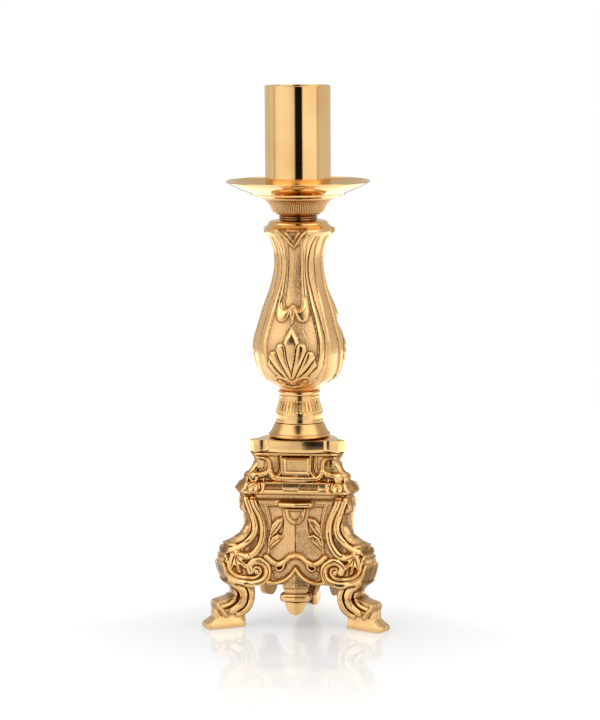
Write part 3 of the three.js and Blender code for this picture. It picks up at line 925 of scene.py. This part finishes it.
def build_cup():
    low, high = low_high("fluted_cup")
    flutes = 96

    def wave(turn, radius, z):
        inside_flutes = smoothstep(268.4, 269.4, z) * smoothstep(277.6, 276.8, z) * (radius > 15.8)
        return inside_flutes * 0.7 * (np.abs(np.cos(turn * flutes / 2)) - 0.7)

    skin = spline([(13.4, 267), (15.6, 267.9), (16.7, 269.6), (17.6, 271.6), (18.9, 273.8), (20.8, 275.9),
                   (22.4, 277.1)], 5)
    outline = [(BORE, low), (12.4, low), *skin.tolist(), (23.2, 277.5), (23.4, high), (21, high),
               (18.4, 276.2), (15.6, 272), (13.2, 269.2), (BORE, 269.2)]
    cup = ring_solid("fluted_cup_casting", turned(outline, flutes * 8, wave))
    cup_paint(cup, flutes, 268.6, 277.4)
    dress(cup, "fluted_cup", CAST, sharp=62)


def cup_paint(thing, flutes, low, high):
    """Painted shade between the flutes, satin on them, burnished above and below."""
    co = points_of(thing.data)
    between = smoothstep(low - 0.4, low, co[:, 2]) * smoothstep(high + 0.4, high, co[:, 2])
    valley = 1 - np.abs(np.cos(np.arctan2(co[:, 1], co[:, 0]) * flutes / 2))
    store(thing.data, "polish", 0.85 - 0.5 * between)
    # painted shade: a little everywhere, much more in the valleys between the flutes
    store(thing.data, "hollow", 0.12 + between * (0.1 + 0.75 * valley))


def build_neck_ring():
    low, high = low_high("neck_ring")
    middle = (low + high) / 2
    beads = [*arc((11.6, (low + middle) / 2), (0.9, (middle - low) / 2), -80, 80, 7),
             *arc((11.6, (high + middle) / 2), (0.9, (high - middle) / 2), -80, 80, 7)]
    outline = [(BORE, low), (11.3, low), *beads, (11.3, high), (BORE, high)]
    ring = ring_solid("neck_ring_turned", turned(outline, 128))
    count = len(ring.data.vertices)
    store(ring.data, "polish", np.full(count, 0.9))
    # painted shade: the whole ring is darkened, as it sits in shade between the cup and the baluster
    store(ring.data, "hollow", np.full(count, 0.85))
    dress(ring, "neck_ring", CAST)


def build_disc():
    low, high = low_high("collar_disc")
    edge = arc((13.1, (low + high) / 2), (0.65, (high - low) / 2), -85, 85, 9)
    disc = ring_solid("collar_disc_turned", turned([(BORE, low), *edge, (BORE, high)], 144))
    dress(disc, "collar_disc", TURNED)


def build_fluted_collar():
    low, high = low_high("fluted_collar")
    flutes = 34

    def wave(turn, radius, z):
        slot = np.abs((turn * flutes / math.pi) % 2 - 1)
        reach = smoothstep(138.2, 139.6, z - 1.2 * slot**2) * smoothstep(146.6, 145.6, z)
        return -0.85 * reach * np.clip(1 - (slot / 0.62) ** 2, 0, 1) * (radius > 10)

    skin = spline([(15.5, 132.4), (15.3, 134.4), (15.4, 137), (15.1, 139.4), (14.4, 141.6), (13.7, 144),
                   (13.2, 146), (12.9, 147.6)], 8).tolist()
    outline = [(BORE, low), (15.3, low), (15.6, low + 0.3), *skin, (13.1, 148.6), (12.9, high), (BORE, high)]
    collar = ring_solid("fluted_collar_turned", turned(outline, flutes * 16, wave))
    dress(collar, "fluted_collar", SATIN_TURNED, sharp=62)


def build_flared_collar():
    low, high = low_high("flared_collar")
    skin = spline([(19, low + 0.1), (20.1, 122.7), (20.4, 123.5), (20, 124.3), (19.2, 125), (18.3, 126.4),
                   (17.4, 128.2), (16.7, 129.8), (16.2, 131)], 6).tolist()
    outline = [(BORE, low), (18.6, low), *skin, (15.9, high), (BORE, high)]
    collar = ring_solid("flared_collar_turned", turned(outline, 160))
    dress(collar, "flared_collar", SHADED_TURNED)


# -------- top plate
def build_top_plate():
    low, high = low_high("top_plate")
    bowed = spline([(0, 21.6), (5, 21.55), (10, 21.2), (14, 20.6), (18, 19.8)], 5).tolist()
    hollow = spline([(18.2, 19.5), (19.8, 18.8), (22, 18.6), (24.6, 19.2), on_corner(34, 3.75)], 4).tolist()
    half = resampled(np.array([*bowed, *hollow]), 40)
    side = np.vstack([half[::-1] * (-1, 1), half[1:]])
    plan = []
    for number in range(3):
        t = number * THIRD_TURN
        x, y = side[:, 0], -side[:, 1]
        plan.append(np.stack([x * math.cos(t) - y * math.sin(t), x * math.sin(t) + y * math.cos(t)], -1))
    plan = np.vstack(plan)
    angle = np.arctan2(plan[:, 1], plan[:, 0])
    bore = BORE * np.stack([np.cos(angle), np.sin(angle)], -1)

    def row(outline, z):
        return np.column_stack([outline, np.full(len(outline), z)])

    bevel = 0.5
    soft = 0.15
    shrunk = plan * (1 - bevel / 28)
    eased = plan * (1 - soft / 28)
    rings = [row(bore, low), row(shrunk, low), row(eased, low + soft), row(plan, low + bevel),
             row(plan, high - bevel), row(eased, high - soft), row(shrunk, high), row(bore, high)]
    plate = ring_solid("top_plate_filed", rings)
    dress(plate, "top_plate", FLAT, sharp=25)


# -------- build everything
for face_number in (1, 2, 3):
    build_face(face_number)
build_baluster()
build_tube()
build_pan()
build_cup()
build_neck_ring()
build_disc()
build_fluted_collar()
build_flared_collar()
build_top_plate()

# pieces that keep the frame's own mesh
KEPT = [
    (SATIN_TURNED, ["tube_floor_disc", "candle_pricket"]),
    (STEEL, ["tie_rod", "cup_washer", "cup_nut", "lower_washer", "lock_washer", "lower_nut"]),
]
for material, nodes in KEPT:
    for node in nodes:
        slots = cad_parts[node].material_slots
        for place in slots:
            place.material = material
        if not slots:
            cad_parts[node].data.materials.append(material)

# -------- stage, light and camera
scene = bpy.context.scene


def build_floor():
    """Glossy white table that fades into the white of the studio; it glows, and the glow is painted light,
    dimmer near the object and brighter behind it.
    """
    half = 0.9
    front = 0.34
    level = -0.0004
    mesh = bpy.data.meshes.new("studio_floor")
    corners = [(-half, -front, level), (half, -front, level), (half, half, level), (-half, half, level)]
    mesh.from_pydata(corners, [], [(0, 1, 2, 3)])
    floor = bpy.data.objects.new("studio_floor", mesh)
    scene.collection.objects.link(floor)
    n = Nodes(bpy.data.materials.new("glossy_floor"))
    greys = (0.4, 0.405, 0.41), (0.38, 0.385, 0.39)
    n.surface("Base Color", n.mix(n.remap(n.noise(1.5, 2), 0.3, 0.7), *greys))
    n.surface("Roughness", 0.07)
    n.surface("Specular IOR Level", 0.22)
    n.surface("Emission Color", (1, 1, 1))
    place = n.add("ShaderNodeTexCoord").outputs["Object"]
    distance = n.add("ShaderNodeVectorMath", operation="LENGTH")
    n.feed(distance.inputs[0], place)
    split = n.add("ShaderNodeSeparateXYZ")
    n.feed(split.inputs[0], place)
    # painted light: the table glows, less near the object and more behind it
    around = n.remap(distance.outputs["Value"], 0.07, 0.32, 0.42, 0.74)
    behind = n.remap(split.outputs["Y"], -0.04, 0.25, 0, 0.55)
    n.surface("Emission Strength", n.maths("ADD", around, behind))
    mesh.materials.append(n.owner)


VIEW_AZIMUTH = math.radians(6.6)
VIEW_DISTANCE = 1.744
VIEW_HEIGHT = 0.402
VIEW_PITCH = math.radians(7.52)
VIEW_ROLL = math.radians(-0.33)
VIEW_SIDE = 0.0006

# Brightness of the studio by angle from the photographer: above the table's edge, below it, and overhead.
UPPER_GLOW = [(-170, 0.7), (-128, 0.75), (-98, 0.86), (-91, 0.6), (-82, 1.05), (-62, 1.16), (-34, 1.1),
              (-13, 0.9), (-8.5, 0.01), (14.5, 0.01), (18, 1.15), (66, 1.15), (74, 0.6), (82, 0.78),
              (120, 0.76), (160, 0.7)]
LOWER_GLOW = [(-170, 0.6), (-100, 0.65), (-76, 1.05), (-40, 0.98), (-24, 0.9), (-11, 0.8), (-7, 0.1),
              (13, 0.1), (18, 0.95), (76, 1.05), (160, 0.65)]
CEILING_GLOW = [(-170, 0.6), (-60, 0.72), (-38, 0.58), (-24, 0.08), (5, 0.08), (20, 0.58), (70, 0.72),
                (160, 0.6)]
# Where one part of the studio passes into the next, as the height of the direction one looks in.
TABLE_EDGE = (-0.16, -0.09)
TABLE_TOP = (-0.35, -0.6)
CEILING = (0.14, 0.36)
OVERHEAD = (0.8, 0.93)
TABLE_WHITE = (0.95, 0.95, 0.93)
OVERHEAD_WHITE = (1.35, 1.34, 1.31)
# A softbox high on each side: the direction it lies in on the right, its soft edge and its colour.
SOFTBOX_TOWARD = (0.6, -0.38, 0.7)
SOFTBOX_EDGE = (0.8, 0.95)
SOFTBOX_WHITE = (1.9, 1.88, 1.83)


def build_world():
    """White studio: even light from the sides and above, darker in front, where the photographer stands."""
    scene.world = bpy.data.worlds.new("studio")
    n = Nodes(scene.world)
    n.tree.nodes.clear()
    split = n.add("ShaderNodeSeparateXYZ")
    n.feed(split.inputs["Vector"], n.add("ShaderNodeTexCoord").outputs["Generated"])
    x, y, height = split.outputs
    azimuth = n.maths("ARCTAN2", x, n.maths("MULTIPLY", y, -1))
    turn = n.remap(azimuth, -math.pi, math.pi)

    def glow(stops):
        """Brightness all round, from (degrees, brightness) stops."""
        node = n.add("ShaderNodeValToRGB")
        elements = node.color_ramp.elements
        node.color_ramp.interpolation = "EASE"
        while len(elements) < len(stops):
            elements.new(0.5)
        for element, (degrees, value) in zip(elements, stops):
            element.position = (degrees + math.degrees(VIEW_AZIMUTH)) / 360 + 0.5
            element.color = (value, value * 0.99, value * 0.97, 1)
        n.feed(node.inputs["Fac"], turn)
        return node.outputs["Color"]

    mirrored = n.add("ShaderNodeCombineXYZ")
    for socket, source in zip(mirrored.inputs, (n.maths("ABSOLUTE", x), y, height)):
        n.feed(socket, source)
    toward = n.add("ShaderNodeVectorMath", operation="DOT_PRODUCT")
    toward.inputs[1].default_value = SOFTBOX_TOWARD
    n.feed(toward.inputs[0], mirrored.outputs[0])

    light = n.mix(n.remap(height, *TABLE_EDGE), glow(LOWER_GLOW), glow(UPPER_GLOW))
    light = n.mix(n.remap(height, *TABLE_TOP), light, TABLE_WHITE)
    light = n.mix(n.remap(height, *CEILING), light, glow(CEILING_GLOW))
    light = n.mix(n.remap(toward.outputs["Value"], *SOFTBOX_EDGE), light, SOFTBOX_WHITE)
    light = n.mix(n.remap(height, *OVERHEAD), light, OVERHEAD_WHITE)
    # behind the object the backdrop is plain white
    light = n.mix(n.add("ShaderNodeLightPath").outputs["Is Camera Ray"], light, (1, 1, 1))
    background = n.add("ShaderNodeBackground")
    n.feed(background.inputs["Color"], light)
    out = n.add("ShaderNodeOutputWorld")
    n.feed(out.inputs["Surface"], background.outputs[0])


def build_camera():
    data = bpy.data.cameras.new("camera")
    data.lens = 135
    data.sensor_width = 36
    data.clip_start = 0.05
    data.clip_end = 50
    camera = bpy.data.objects.new("camera", data)
    scene.collection.objects.link(camera)
    scene.camera = camera
    back = Vector((math.sin(VIEW_AZIMUTH), -math.cos(VIEW_AZIMUTH), 0))
    side = Vector((math.cos(VIEW_AZIMUTH), math.sin(VIEW_AZIMUTH), 0))
    foot = AXIS_FOOT + side * VIEW_SIDE
    camera.location = foot + back * VIEW_DISTANCE + Vector((0, 0, VIEW_HEIGHT))
    look = Matrix.Rotation(VIEW_AZIMUTH, 4, "Z") @ Matrix.Rotation(math.pi / 2 - VIEW_PITCH, 4, "X")
    camera.rotation_mode = "QUATERNION"
    camera.rotation_quaternion = (look @ Matrix.Rotation(VIEW_ROLL, 4, "Z")).to_quaternion()


build_floor()
build_world()
build_camera()
scene.view_settings.view_transform = "Standard"
